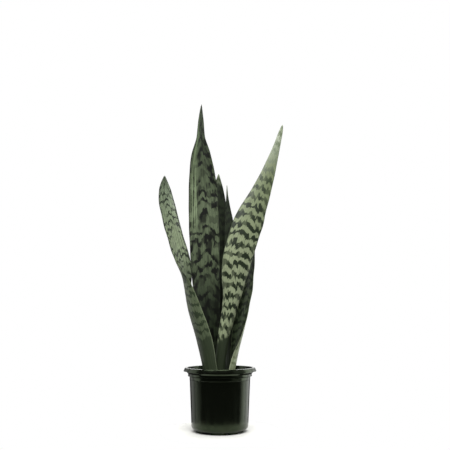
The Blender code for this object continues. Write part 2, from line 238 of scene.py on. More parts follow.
# ---------------------------------------------------------------- curves
def hermite(x: np.ndarray, y: np.ndarray, tangent: np.ndarray, at: np.ndarray) -> np.ndarray:
    """Read cubics that join knots with given tangents.

    Args:
        x: positions of the knots in rising order.
        y: the number or the point at each knot.
        tangent: how fast it changes there.
        at: positions to read.

    Returns:
        The number or the point at each position.
    """
    i = np.clip(np.searchsorted(x, at, side="right") - 1, 0, len(x) - 2)
    step = x[i + 1] - x[i]
    u = (at - x[i]) / step
    if y.ndim > 1:
        step, u = step[:, None], u[:, None]
    return (
        (2 * u**3 - 3 * u**2 + 1) * y[i]
        + (u**3 - 2 * u**2 + u) * step * tangent[i]
        + (3 * u**2 - 2 * u**3) * y[i + 1]
        + (u**3 - u**2) * step * tangent[i + 1]
    )


def blend(knots: Knots, at: np.ndarray) -> np.ndarray:
    """Read a monotone cubic through knots.

    Args:
        knots: positions in rising order, each with its value.
        at: positions to read.

    Returns:
        The value at each position.
    """
    x, y = np.array(knots, float).T
    step = np.diff(x)
    slope = np.diff(y) / step
    tangent = np.concatenate([slope[:1], np.zeros(len(x) - 2), slope[-1:]])
    for i in range(1, len(x) - 1):
        before, after = slope[i - 1], slope[i]
        if before * after > 0:
            near = 2 * step[i] + step[i - 1]
            far = step[i] + 2 * step[i - 1]
            tangent[i] = (near + far) / (near / before + far / after)
    return hermite(x, y, tangent, at)


def thread(points: Points, at: np.ndarray) -> np.ndarray:
    """Read a smooth curve through points.

    Args:
        points: the points that the curve passes through.
        at: positions to read, as shares of the chords' whole length.

    Returns:
        The point at each position.
    """
    p = np.array(points, float)
    chord = np.linalg.norm(np.diff(p, axis=0), axis=1)
    x = np.concatenate([[0], np.cumsum(chord)]) / chord.sum()
    step = np.diff(x)[:, None]
    slope = np.diff(p, axis=0) / step
    inner = (slope[:-1] * step[1:] + slope[1:] * step[:-1]) / (step[:-1] + step[1:])
    tangent = np.vstack([2 * slope[0] - inner[0], inner, 2 * slope[-1] - inner[-1]])
    return hermite(x, p, tangent, at)


def arc(
    centre: tuple[float, float], radius: float, start: float, end: float, steps: int
) -> list[tuple[float, float]]:
    """Points of an arc in a profile.

    Args:
        centre: radius and height of its middle.
        radius: the arc's radius.
        start: first angle in degrees, 0 outwards and 90 up.
        end: last angle in degrees.
        steps: number of straight pieces.

    Returns:
        The points, as radius and height.
    """
    angles = [math.radians(start + (end - start) * i / steps) for i in range(steps + 1)]
    return [(centre[0] + radius * math.cos(a), centre[1] + radius * math.sin(a)) for a in angles]


# ---------------------------------------------------------------- leaf finish
@dataclass(frozen=True)
class Streak:
    """Lengthwise streaks in a leaf's skin."""

    width_mm: float
    reach_mm: float
    shift: float  # moves the pattern away from the others


WANDER = Streak(22.0, 40.0, 11.0)  # slow straying of the bands
TEETH = Streak(5.5, 20.0, 23.0)  # jags in a band's edges
FRAYS = Streak(2.5, 13.0, 37.0)  # fine ends of a band
VEINS = Streak(0.8, 70.0, 51.0)  # real veins lie about 0.3 mm apart, too fine to show
DASHES = Streak(2.4, 11.0, 67.0)  # flecks, and the torn edges of the foot and the margin
LINES = Streak(2.1, 120.0, 83.0)  # long pale lines
CLOUDS = Streak(19.0, 48.0, 97.0)  # patches where the bands fade or run together

# Values of the streaks, which lie round one half, where a mark starts and where it is full.
TONE_SPAN = (0.32, 0.68)
SATIN_SPAN = (0.30, 0.70)
FLECK_SPAN = (0.58, 0.66)
CALM_SPAN = (0.50, 0.41)
BLOTCH_SPAN = (0.52, 0.62)
THREAD_SPAN = (0.42, 0.56)
LINE_SOFTNESS = 0.1
BAND_SOFTNESS = 0.07  # half the blur of a band's edge, in shares of the pitch
WANDER_TURN = 9.0  # how far the slow streaks turn the arches, in radians
HIGHLIGHT_BESIDE = (0.34, 0.10)  # how far off its middle the painted highlight starts and is full
HIGHLIGHT_ALONG = (0.50, 0.62)  # share of the length where it starts and is full
HIGHLIGHT_GAIN = 2.8  # how much lighter than the ground the painted highlight is
FOOT_TEAR_MM = 30.0  # reach of the dashes in the foot's upper edge
FOOT_SPAN_MM = (22.0, 12.0)  # over foot_mm, with the dashes' mean, where the foot starts and is full
MARGIN_SOFTNESS = 0.04
MARGIN_COVER = 0.85  # how much of the margin's line covers the ground
SATIN_SPREAD = 0.07
RELIEF = (0.4, 0.0003)  # strength and height in metres of the veins' relief


@dataclass(frozen=True)
class BladeMap:
    """Places on a blade and the streaks that its layers share, as outputs of a material's nodes."""

    place: bpy.types.NodeSocket  # across and along in millimetres, and 1
    across: bpy.types.NodeSocket  # from -1 at one margin to 1 at the other
    off: bpy.types.NodeSocket  # off the midrib, from 0 to 1
    along: bpy.types.NodeSocket  # in millimetres from the foot
    share: bpy.types.NodeSocket  # of the length, from 0 at the foot to 1
    veins: bpy.types.NodeSocket
    dashes: bpy.types.NodeSocket
    lines: bpy.types.NodeSocket


@dataclass(frozen=True)
class LeafCuticle:
    """Waxy skin of a snake plant's leaf: satin, cross-banded, with fine lengthwise veins.

    The bands are built of short lengthwise streaks, so their ends fray along the blade.
    """

    ground: Stops  # colours between the bands, from foot to tip
    bands: Stops  # colours of the bands, from foot to tip
    foot: str  # colour of the foot, which has no bands
    margin: str
    seed: float
    foot_mm: float = 90.0  # how far up the foot's colour reaches
    foot_slant_mm: float = 12.0  # how far its end slants between the midrib and a margin
    pitch_mm: float = 19.0  # mean distance between bands
    band_share: float = 0.36  # share of the pitch that a band takes
    chevron_mm: float = 4.0  # how much lower the bands are at the margins
    arch_mm: float = 5.0  # height of the arches in a band
    arches: float = 1.5  # arches on each side of the midrib
    jag_mm: float = 7.0
    fray: float = 1.1  # how far the fine streaks break a band up
    flecks: float = 0.4  # strength of the flecks of band colour on the ground
    gleam: float = 0.25  # strength of the pale lines
    gleam_from: float = 0.56  # streaks above this are pale
    pale: float = 1.45  # how much lighter than the ground they are
    contrast: float = 0.5  # of the veins
    drift: float = 2.0  # how far the bands' spacing strays, in pitches
    blotches: float = 0.0  # dark patches that swallow the ground
    calm: float = 0.0  # patches of ground where the bands fade out
    painted_fold_highlight: float = 0.0  # painted highlight: a pale lengthwise band on the upper blade, where a fold catches the light
    painted_highlight_at: float = 0.0  # its place across, from -1 to 1
    margin_from: float = 0.94  # place off the midrib where the margin's line starts
    margin_jag: float = 0.1
    roughness: float = 0.36

    def streaks(
        self, tree: bpy.types.NodeTree, place: bpy.types.NodeSocket, streak: Streak
    ) -> bpy.types.NodeSocket:
        """Add lengthwise streaks.

        Args:
            tree: the material's node tree.
            place: output with the place across and along in millimetres, and 1.
            streak: their size.

        Returns:
            The streaks, as a number round one half.
        """
        cells = (1 / streak.width_mm, 1 / streak.reach_mm, self.seed + streak.shift)
        stretch = add_node(tree, "VectorMath", {0: place, 1: cells}, operation="MULTIPLY")
        return add_node(tree, "TexNoise", {"Vector": stretch, "Scale": 1.0, "Detail": 2.5}).outputs[0]

    def lay_out(self, tree: bpy.types.NodeTree, length: float, half_width: float) -> BladeMap:
        """Add the places on the blade and the streaks that several layers share.

        Args:
            tree: the material's node tree.
            length: the blade's length in metres.
            half_width: half the blade's greatest width in metres.

        Returns:
            The outputs.
        """
        spot = add_node(tree, "SeparateXYZ", {0: add_node(tree, "UVMap", uv_map=BLADE_MAP)})
        across = add_node(tree, "MapRange", {0: spot, "To Min": -1.0}).outputs[0]
        along = add_node(tree, "Math", {0: spot.outputs[1], 1: 1000.0}, operation="MULTIPLY").outputs[0]
        off = add_node(tree, "Math", {0: across}, operation="ABSOLUTE").outputs[0]
        share = add_node(tree, "Math", {0: spot.outputs[1], 1: length}, operation="DIVIDE").outputs[0]
        across_mm = add_node(tree, "Math", {0: across, 1: 1000 * half_width}, operation="MULTIPLY")
        place = add_node(tree, "CombineXYZ", {0: across_mm, 1: along, 2: 1.0}).outputs[0]
        shared = [self.streaks(tree, place, streak) for streak in (VEINS, DASHES, LINES)]
        return BladeMap(place, across, off, along, share, *shared)

    def band_cover(self, tree: bpy.types.NodeTree, at: BladeMap) -> bpy.types.NodeSocket:
        """Add the cross bands: arched, dipping to the margins, uneven and frayed.

        Args:
            tree: the material's node tree.
            at: places and streaks of the blade.

        Returns:
            1 in a band and 0 on the ground.
        """
        slow, jag, fray = (self.streaks(tree, at.place, streak) for streak in (WANDER, TEETH, FRAYS))
        wander = add_node(tree, "Math", {0: slow, 1: WANDER_TURN}, operation="MULTIPLY")
        turns = {0: at.across, 1: self.arches * math.pi, 2: wander}
        turn = add_node(tree, "Math", turns, operation="MULTIPLY_ADD")
        swing = add_node(tree, "Math", {0: turn}, operation="SINE")
        arch = add_node(tree, "Math", {0: swing}, operation="ABSOLUTE")
        level = at.along
        for part, reach in (
            (arch, -self.arch_mm),
            (at.off, self.chevron_mm),
            (jag, 3 * self.jag_mm),
            (slow, self.drift * self.pitch_mm),
        ):
            level = add_node(tree, "Math", {0: part, 1: reach, 2: level}, operation="MULTIPLY_ADD")
        wave = add_node(tree, "Math", {0: level, 1: self.pitch_mm / 2}, operation="PINGPONG")
        low, high = -self.fray / 2, 1 - self.fray / 2
        height = add_node(
            tree, "MapRange", {0: wave, "From Max": self.pitch_mm / 2, "To Min": low, "To Max": high}
        )
        frayed = add_node(tree, "Math", {0: fray, 1: self.fray, 2: height}, operation="MULTIPLY_ADD")
        start, full = self.band_share + BAND_SOFTNESS, self.band_share - BAND_SOFTNESS
        return add_node(
            tree, "MapRange", {0: frayed, "From Min": start, "From Max": full},
            interpolation_type="SMOOTHSTEP",
        ).outputs[0]

    def dark_cover(self, tree: bpy.types.NodeTree, at: BladeMap) -> bpy.types.NodeSocket:
        """Add the bands with their calm patches and their blotches.

        Args:
            tree: the material's node tree.
            at: places and streaks of the blade.

        Returns:
            How much of the band's colour covers the ground.
        """
        mask = self.band_cover(tree, at)
        clouds = self.streaks(tree, at.place, CLOUDS)
        start, full = CALM_SPAN
        calm = add_node(
            tree, "MapRange",
            {0: clouds, "From Min": start, "From Max": full, "To Min": 1.0, "To Max": 1 - self.calm},
        )
        calmed = add_node(tree, "Math", {0: mask, 1: calm}, operation="MULTIPLY")
        start, full = BLOTCH_SPAN
        blotch = add_node(
            tree, "MapRange", {0: clouds, "From Min": start, "From Max": full, "To Max": self.blotches}
        )
        return add_node(tree, "Math", {0: calmed, 1: blotch}, operation="MAXIMUM").outputs[0]

    def painted_highlight_cover(self, tree: bpy.types.NodeTree, at: BladeMap) -> bpy.types.NodeSocket:
        """Add the painted highlight: a pale lengthwise band on the upper blade, where a fold catches the
        light.

        Args:
            tree: the material's node tree.
            at: places and streaks of the blade.

        Returns:
            How much of the painted highlight's colour covers what lies under it.
        """
        shifted = add_node(tree, "Math", {0: at.across, 1: self.painted_highlight_at}, operation="SUBTRACT")
        apart = add_node(tree, "Math", {0: shifted}, operation="ABSOLUTE")
        beside, upper, threads = (
            add_node(tree, "MapRange", {0: value, "From Min": start, "From Max": full, "To Max": most})
            for value, (start, full), most in (
                (apart, HIGHLIGHT_BESIDE, 1.0),
                (at.share, HIGHLIGHT_ALONG, self.painted_fold_highlight),
                (at.lines, THREAD_SPAN, 1.0),
            )
        )
        narrow = add_node(tree, "Math", {0: beside, 1: upper}, operation="MULTIPLY")
        return add_node(tree, "Math", {0: narrow, 1: threads}, operation="MULTIPLY").outputs[0]

    def foot_cover(self, tree: bpy.types.NodeTree, at: BladeMap) -> bpy.types.NodeSocket:
        """Add the foot, with its slanting torn upper edge.

        Args:
            tree: the material's node tree.
            at: places and streaks of the blade.

        Returns:
            How much of the foot's colour covers what lies under it.
        """
        level = at.along
        for part, reach in ((at.across, self.foot_slant_mm), (at.dashes, FOOT_TEAR_MM)):
            level = add_node(tree, "Math", {0: part, 1: reach, 2: level}, operation="MULTIPLY_ADD")
        start, full = (self.foot_mm + over for over in FOOT_SPAN_MM)
        return add_node(
            tree, "MapRange", {0: level, "From Min": start, "From Max": full},
            interpolation_type="SMOOTHSTEP",
        ).outputs[0]

    def margin_cover(self, tree: bpy.types.NodeTree, at: BladeMap) -> bpy.types.NodeSocket:
        """Add the line along both margins.

        Args:
            tree: the material's node tree.
            at: places and streaks of the blade.

        Returns:
            How much of the margin's colour covers what lies under it.
        """
        torn = add_node(
            tree, "Math", {0: at.dashes, 1: self.margin_jag, 2: at.off}, operation="MULTIPLY_ADD"
        )
        start = self.margin_from + self.margin_jag / 2
        full = start + MARGIN_SOFTNESS
        return add_node(
            tree, "MapRange", {0: torn, "From Min": start, "From Max": full, "To Max": MARGIN_COVER}
        ).outputs[0]

    def make(self, name: str, length: float, half_width: float) -> bpy.types.Material:
        """Make the material for one face of a blade, as layers over the veined ground.

        Args:
            name: the material's name.
            length: the blade's length in metres.
            half_width: half the blade's greatest width in metres.

        Returns:
            The material.
        """
        # The wax gives broad soft highlights, which the veins break up into lengthwise streaks.
        material, shader = new_material(name, Ior=1.45)
        tree = material.node_tree
        at = self.lay_out(tree, length, half_width)
        ground, bands = (add_node(tree, "ValToRGB", {0: at.share}) for _ in range(2))
        set_stops(ground, self.ground)
        set_stops(bands, self.bands)
        tone, satin = (
            add_node(
                tree, "MapRange",
                {0: at.veins, "From Min": start, "From Max": full, "To Min": mean - by, "To Max": mean + by},
            )
            for (start, full), mean, by in (
                (TONE_SPAN, 1.0, self.contrast / 2), (SATIN_SPAN, self.roughness, SATIN_SPREAD),
            )
        )
        # The last colour is the painted highlight along a fold, lighter than the ground.
        colour, band_tone, foot, pale, highlight_colour = (
            add_node(tree, "VectorMath", {0: base, "Scale": by}, operation="SCALE").outputs[0]
            for base, by in (
                (ground, tone), (bands, tone), (linear(self.foot)[:3], tone), (ground, self.pale),
                (ground, HIGHLIGHT_GAIN),
            )
        )
        gleam_full = self.gleam_from + LINE_SOFTNESS
        line, fleck = (
            add_node(tree, "MapRange", {0: marks, "From Min": start, "From Max": full, "To Max": most})
            for marks, start, full, most in (
                (at.lines, self.gleam_from, gleam_full, self.gleam), (at.dashes, *FLECK_SPAN, self.flecks),
            )
        )
        for cover, over in (
            (line, pale),
            (fleck, bands),
            (self.dark_cover(tree, at), band_tone),
            # painted highlight along a fold of the upper blade
            (self.painted_highlight_cover(tree, at), highlight_colour),
            (self.foot_cover(tree, at), foot),
            (self.margin_cover(tree, at), linear(self.margin)),
        ):
            mixed = add_node(
                tree, "Mix", {MIX_COLOUR: cover, MIX_A: colour, MIX_B: over}, data_type="RGBA"
            )
            colour = mixed.outputs[MIX_RESULT]
        link_surface(tree, shader, colour, satin.outputs[0], at.veins, *RELIEF)
        return material


# ---------------------------------------------------------------- blades
CLOSING_POWER = 400  # closes the section over the last steps before the tip
MARGIN_POWER = 14  # rounds the margins off
OVERTONE = (0.5, 0.43)  # the margins' second wave: its strength and its beat, as shares of the first


@dataclass
class Blade:
    """One leaf: a thick blade bent round its midrib, closed at its margins and its tip."""

    name: str
    slot: Slot
    outer: LeafCuticle
    inner: LeafCuticle
    spine: Points  # midrib: x and y from the pot's axis, z above the leaf's foot
    width: Knots  # share of the length, width along the curved section
    bearing: Knots  # share of the length, where the inner face looks: 0 is -Y, 90 is +X
    curl: Knots  # share of the length, half the angle that the section bends through
    wave: float = 0.0006  # how far the margins wave to each side
    wave_length: float = 0.055
    phase: float = 0.0
    margin_thickness: float = 0.0010
    midrib_thickness: Knots = ((0, 0.0048), (0.2, 0.0042), (0.5, 0.0032), (0.8, 0.0022), (1, 0.0010))
    rib_height: float = 0.00012
    ribs: int = 9  # low lengthwise ribs across a face
    around: int = 56  # points round a section
    row_step: float = 0.003

    @property
    def length(self) -> float:
        """Length of the midrib along its chords, in metres."""
        return float(np.linalg.norm(np.diff(np.array(self.spine), axis=0), axis=1).sum())

    def section_places(self) -> tuple[np.ndarray, np.ndarray]:
        """Place the points round a section.

        Returns:
            Each point's place across, from -1 to 1, and its face, -1 outer and 1 inner.
        """
        turn = np.linspace(0, math.tau, self.around + 1)
        return -np.cos(turn), np.where(turn < math.pi, -1.0, 1.0)

    def midrib(self, share: np.ndarray) -> tuple[np.ndarray, np.ndarray, np.ndarray]:
        """Follow the midrib.

        Args:
            share: places along it, as shares of its length.

        Returns:
            Its points over the leaf's foot, where its inner face looks, and the way across.
        """
        spine = thread(self.spine, share)
        tangent = np.gradient(spine, share, axis=0)
        tangent /= np.linalg.norm(tangent, axis=1)[:, None]
        bearing = np.radians(blend(self.bearing, share))
        inward = np.stack([np.sin(bearing), -np.cos(bearing), np.zeros_like(bearing)], axis=1)
        inward -= tangent * (inward * tangent).sum(axis=1)[:, None]
        inward /= np.linalg.norm(inward, axis=1)[:, None]
        return spine, inward, np.cross(tangent, inward)

    def thickness(self, share: np.ndarray, closing: np.ndarray) -> np.ndarray:
        """Work out how thick the blade is.

        Args:
            share: places along the midrib, as shares of its length.
            closing: how open the section is at each place, from 0 to 1.

        Returns:
            The thickness in rows from foot to tip, each row once round the section.
        """
        across, _ = self.section_places()
        middle = blend(self.midrib_thickness, share)[:, None] * closing[:, None]
        rim = np.minimum(self.margin_thickness * closing[:, None], middle)
        thickness = rim + (middle - rim) * (1 - across**2)[None, :]
        thickness *= np.sqrt(1 - np.abs(across) ** MARGIN_POWER)[None, :]
        ribbing = np.cos(across * math.pi * self.ribs / 2)[None, :] * (1 - across**2)[None, :]
        is_thick = thickness > 3 * self.rib_height
        return thickness + self.rib_height * ribbing * is_thick * (1 - share)[:, None]

    def lift(self, share: np.ndarray) -> np.ndarray:
        """Work out how far the margins wave off the section.

        Args:
            share: places along the midrib, as shares of its length.

        Returns:
            The lift in rows from foot to tip, each row once round the section.
        """
        across, _ = self.section_places()
        strength, beat = OVERTONE
        turn = share * self.length / self.wave_length * math.tau
        swing = np.sin(turn + self.phase) + strength * np.sin(turn * beat + 2 * self.phase)
        lift = self.wave * swing[:, None] * (np.abs(across) ** 3 * np.sign(across))[None, :]
        return lift * (4 * share * (1 - share))[:, None]

    def surface(self) -> np.ndarray:
        """Work out the blade's skin.

        Returns:
            Points in rows from foot to tip, each row once round the section.
        """
        share = np.linspace(0, 1, round(self.length / self.row_step) + 1)
        spine, inward, sideways = self.midrib(share)
        closing = np.sqrt(1 - share**CLOSING_POWER)
        width = blend(self.width, share) * closing
        radius = blend(self.width, share) / (2 * np.radians(blend(self.curl, share)))
        across, face = self.section_places()
        angle = across[None, :] * (width / (2 * radius))[:, None]
        sine, cosine = np.sin(angle)[..., None], np.cos(angle)[..., None]
        normal = inward[:, None] * cosine - sideways[:, None] * sine
        spine[:, 2] += LEAF_FOOT_Z
        off = face[None, :] * self.thickness(share, closing) / 2 + self.lift(share)
        return (
            spine[:, None]
            + sideways[:, None] * radius[:, None, None] * sine
            + inward[:, None] * radius[:, None, None] * (1 - cosine)
            + normal * off[..., None]
        )

    def build(self) -> bmesh.types.BMesh:
        """Bend a grid into the closed blade, with its UV map and the finish of each face.

        Returns:
            The mesh.
        """
        surface = self.surface()
        rows = len(surface) - 1
        across, _ = self.section_places()
        bm = bmesh.new()
        bmesh.ops.create_grid(bm, x_segments=self.around, y_segments=rows, size=0.5)
        layer = bm.loops.layers.uv.new(BLADE_MAP)
        places = {}
        for vert in bm.verts:
            places[vert] = (round((vert.co.x + 0.5) * self.around), round((vert.co.y + 0.5) * rows))
        for face in bm.faces:
            for loop in face.loops:
                column, row = places[loop.vert]
                loop[layer].uv = ((across[column] + 1) / 2, self.length * row / rows)
            is_inner = face.calc_center_median().x > 0
            face.material_index = (Face.INNER if is_inner else Face.OUTER).value
        for vert, (column, row) in places.items():
            vert.co = surface[row, column]
        bmesh.ops.remove_doubles(bm, verts=bm.verts, dist=MERGE_DISTANCE)
        bmesh.ops.holes_fill(bm, edges=[edge for edge in bm.edges if edge.is_boundary])
        bmesh.ops.recalc_face_normals(bm, faces=bm.faces)
        return bm

    def dress(self) -> list[bpy.types.Material]:
        """Make the finishes of both faces.

        Returns:
            The materials, in the order of Face.
        """
        half_width = max(width for _, width in self.width) / 2
        return [
            self.outer.make(f"{self.name}_outer_waxy_cuticle", self.length, half_width),
            self.inner.make(f"{self.name}_inner_waxy_cuticle", self.length, half_width),
        ]

    def place(self) -> bpy.types.Object:
        """Build, dress and tie the blade, in the place of its CAD node.

        Returns:
            The blade.
        """
        item = finish_mesh(f"{self.name}_blade", self.build(), self.dress())
        settle(item, self.name)
        return item


FRONT_OUTER = LeafCuticle(
    ground=((0, "7f8a68"), (0.2, "97a280"), (0.45, "929c7b"), (0.7, "747f5e"), (0.8, "717b5a"),
            (0.9, "858e76"), (0.95, "9ea691"), (1, "77825f")),
    bands=((0, "27301f"), (0.45, "20291a"), (0.7, "232c1c"), (0.78, "3d4831"), (0.86, "76806a"),
           (1, "5a6649")),
    foot="323b2a", margin="39452f", seed=3.0, foot_mm=92, pitch_mm=22, band_share=0.5,
    chevron_mm=3, arch_mm=8, arches=1.6, jag_mm=4.5, fray=1.0, drift=1.2, calm=0.3, flecks=0.35, gleam=0.2,
)
FRONT_INNER = LeafCuticle(
    ground=((0, "4c573f"), (0.5, "5d694f"), (1, "7d896a")),
    bands=((0, "1c2418"), (0.6, "28311f"), (1, "4b5640")),
    foot="242c1d", margin="2c3524", seed=8.0, chevron_mm=12, pitch_mm=21,
)
TALL_INNER = LeafCuticle(
    ground=((0, "1f2719"), (0.28, "2b3424"), (0.42, "535e46"), (0.6, "59644c"), (0.8, "434d38"),
            (0.9, "3a4532"), (1, "28311f")),
    bands=((0, "0a0d07"), (0.4, "080b05"), (0.8, "0a0d07"), (1, "12180e")),
    foot="1d2517", margin="12180e", seed=14.0, foot_mm=70, pitch_mm=29, band_share=0.46,
    chevron_mm=22, arch_mm=6, arches=1.2, jag_mm=7, fray=0.9, flecks=0.35, gleam=0.7, contrast=0.8,
    # painted highlight along a fold near the left margin of the upper blade
    drift=2.2, blotches=0.85, calm=0.6, painted_fold_highlight=0.95, painted_highlight_at=-0.66,
)
TALL_OUTER = LeafCuticle(
    ground=((0, "55614a"), (0.4, "74806a"), (0.8, "7d896d"), (1, "46523b")),
    bands=((0, "1c2418"), (0.6, "2a3424"), (1, "1f281a")),
    foot="2b3424", margin="2a3322", seed=19.0, pitch_mm=20, band_share=0.4, chevron_mm=5, arch_mm=6,
)
LEFT_INNER = LeafCuticle(
    ground=((0, "505b43"), (0.4, "59634d"), (0.7, "606a52"), (0.92, "535d4a"), (1, "2c3524")),
    bands=((0, "27301f"), (0.5, "20281a"), (0.8, "1c2417"), (1, "1c2418")),
    foot="333c2a", margin="1a2114", seed=27.0, pitch_mm=18, band_share=0.36, chevron_mm=14,
    arch_mm=6, arches=1.6, jag_mm=7, fray=0.9, drift=2.0, calm=0.9, flecks=0.5, gleam=0.9, gleam_from=0.48,
    pale=2.0, contrast=0.7, margin_from=0.86, margin_jag=0.6,
)
LEFT_OUTER = LeafCuticle(
    ground=((0, "4a553e"), (0.2, "57634a"), (0.4, "6a765a"), (0.7, "7c8868"), (1, "5a664b")),
    bands=((0, "2a3322"), (0.4, "3d4934"), (0.8, "48543d"), (1, "39442f")),
    foot="3c4633", margin="7c8868", seed=33.0, foot_mm=85, pitch_mm=20, band_share=0.36,
    chevron_mm=10, arch_mm=4, arches=1.0, jag_mm=7, fray=1.4, flecks=0.3, gleam=0.35,
)
DEEP_INNER = LeafCuticle(
    ground=((0, "1a2115"), (0.4, "1f2719"), (0.8, "222a1b"), (0.93, "1f2719"), (1, "8a9478")),
    bands=((0, "0b0f08"), (0.5, "0f140b"), (0.93, "12180e"), (1, "5f6a4e")),
    foot="1d2517", margin="161d12", seed=41.0, foot_mm=75, pitch_mm=21, band_share=0.46, chevron_mm=10,
    gleam=0.35,
)
DEEP_OUTER = LeafCuticle(
    ground=((0, "4a553e"), (0.4, "66725a"), (0.8, "707c61"), (1, "7d8869")),
    bands=((0, "1c2418"), (0.6, "2a3424"), (1, "4b563e")),
    foot="2b3424", margin="2a3322", seed=47.0, pitch_mm=20, band_share=0.4,
)
RIGHT_INNER = LeafCuticle(
    ground=((0, "232b1c"), (0.3, "39442f"), (0.6, "465139"), (0.9, "3e4932"), (1, "566149")),
    bands=((0, "10150d"), (0.5, "182013"), (1, "1f281a")),
    foot="20281a", margin="5b674c", seed=55.0, foot_mm=60, pitch_mm=18, band_share=0.48, chevron_mm=8,
    jag_mm=9, gleam=0.3,
)
# Painted light: the right leaf's own green and bands, painted pale, with faint bands and a pale foot, as the
# side that faces the lamps at the right.
RIGHT_OUTER_PAINTED_LIT = LeafCuticle(
    ground=((0, "98a381"), (0.3, "a6b08e"), (0.7, "939e7b"), (1, "6b775a")),
    bands=((0, "7d8969"), (0.5, "717d60"), (1, "4a553e")),
    foot="8a9573", margin="b3bc9c", seed=61.0, foot_mm=40, pitch_mm=18, band_share=0.3,
)

BLADES = (
    Blade(
        name="leaf_left",
        slot=Slot.PALE_LEAF,
        outer=LEFT_OUTER,
        inner=LEFT_INNER,
        spine=(
            (-0.022, -0.014, 0.000), (-0.042, -0.023, 0.090), (-0.065, -0.026, 0.161),
            (-0.084, -0.024, 0.253), (-0.107, -0.013, 0.336), (-0.121, 0.001, 0.401),
            (-0.124, 0.009, 0.449),
        ),
        width=(
            (0, 0.044), (0.10, 0.050), (0.20, 0.058), (0.36, 0.059), (0.46, 0.057), (0.56, 0.052),
            (0.67, 0.047), (0.83, 0.043), (0.92, 0.032), (0.96, 0.019), (1, 0.002),
        ),
        bearing=((0, 140), (0.20, 128), (0.36, 113), (0.46, 89), (0.56, 52), (0.83, 38), (1, 34)),
        curl=((0, 76), (0.20, 68), (0.46, 59), (0.56, 36), (0.67, 26), (0.83, 18), (1, 12)),
        phase=0.4,
    ),
    Blade(
        name="leaf_tall",
        slot=Slot.DARK_LEAF,
        outer=TALL_OUTER,
        inner=TALL_INNER,
        spine=(
            (-0.006, 0.018, 0.000), (-0.021, 0.021, 0.110), (-0.031, 0.024, 0.239),
            (-0.035, 0.024, 0.340), (-0.038, 0.021, 0.420), (-0.043, 0.015, 0.498),
            (-0.044, 0.010, 0.548), (-0.043, 0.004, 0.615),
        ),
        width=(
            (0, 0.038), (0.18, 0.050), (0.39, 0.065), (0.55, 0.070), (0.66, 0.068), (0.755, 0.057),
            (0.815, 0.044), (0.845, 0.032), (0.875, 0.0205), (0.937, 0.0130), (1, 0.0015),
        ),
        bearing=((0, 0), (0.5, -5), (1, -5)),
        curl=((0, 62), (0.18, 42), (0.40, 26), (0.70, 26), (1, 30)),
        phase=1.9,
    ),
    Blade(
        name="leaf_back",
        slot=Slot.DARK_LEAF,
        outer=DEEP_OUTER,
        inner=DEEP_INNER,
        spine=(
            (0.002, 0.033, 0.000), (-0.004, 0.038, 0.110), (-0.012, 0.040, 0.241),
            (-0.011, 0.040, 0.342), (-0.006, 0.038, 0.411), (-0.004, 0.036, 0.461),
        ),
        width=(
            (0, 0.030), (0.30, 0.042), (0.60, 0.052), (0.80, 0.047), (0.92, 0.025), (0.97, 0.010),
            (1, 0.0012),
        ),
        bearing=((0, 0), (1, 0)),
        curl=((0, 60), (0.40, 35), (1, 15)),
        phase=3.1,
    ),
    Blade(
        name="leaf_inner",
        slot=Slot.DARK_LEAF,
        outer=DEEP_OUTER,
        inner=DEEP_INNER,
        spine=(
            (0.020, 0.022, 0.000), (0.023, 0.026, 0.110), (0.023, 0.028, 0.238),
            (0.020, 0.028, 0.338), (0.016, 0.027, 0.394), (0.015, 0.026, 0.432),
        ),
        width=(
            (0, 0.026), (0.30, 0.030), (0.60, 0.030), (0.80, 0.020), (0.90, 0.009), (0.95, 0.004),
            (1, 0.0012),
        ),
        bearing=((0, 10), (1, 10)),
        curl=((0, 60), (0.40, 35), (1, 25)),
        wave=0.0003,
        phase=4.4,
    ),
    Blade(
        name="leaf_front",
        slot=Slot.PALE_LEAF,
        outer=FRONT_OUTER,
        inner=FRONT_INNER,
        spine=(
            (-0.005, -0.009, 0.000), (0.005, -0.014, 0.087), (0.022, -0.019, 0.168),
            (0.034, -0.023, 0.250), (0.059, -0.024, 0.334), (0.095, -0.022, 0.421),
            (0.125, -0.020, 0.510), (0.138, -0.020, 0.557),
        ),
        width=(
            (0, 0.028), (0.15, 0.030), (0.22, 0.034), (0.30, 0.041), (0.37, 0.054), (0.44, 0.064),
            (0.51, 0.066), (0.59, 0.066), (0.67, 0.0525), (0.75, 0.0385), (0.83, 0.0265),
            (0.91, 0.0155), (0.975, 0.0082), (1, 0.002),
        ),
        bearing=((0, 170), (0.5, 175), (1, 180)),
        curl=((0, 72), (0.15, 68), (0.22, 60), (0.30, 48), (0.44, 28), (0.60, 20), (1, 12)),
        phase=5.2,
    ),
    Blade(
        name="leaf_right",
        slot=Slot.DARK_LEAF,
        outer=RIGHT_OUTER_PAINTED_LIT,
        inner=RIGHT_INNER,
        spine=(
            (0.023, -0.002, 0.000), (0.038, -0.002, 0.073), (0.047, 0.000, 0.127),
            (0.058, 0.003, 0.194), (0.064, 0.005, 0.248), (0.067, 0.007, 0.308),
            (0.064, 0.008, 0.358),
        ),
        width=((0, 0.036), (0.25, 0.042), (0.50, 0.042), (0.75, 0.032), (0.92, 0.014), (1, 0.0015)),
        bearing=((0, -98), (0.12, -88), (0.35, -48), (0.60, -42), (1, -40)),
        curl=((0, 76), (0.12, 74), (0.35, 46), (0.60, 34), (1, 18)),
        phase=0.9,
    ),
)


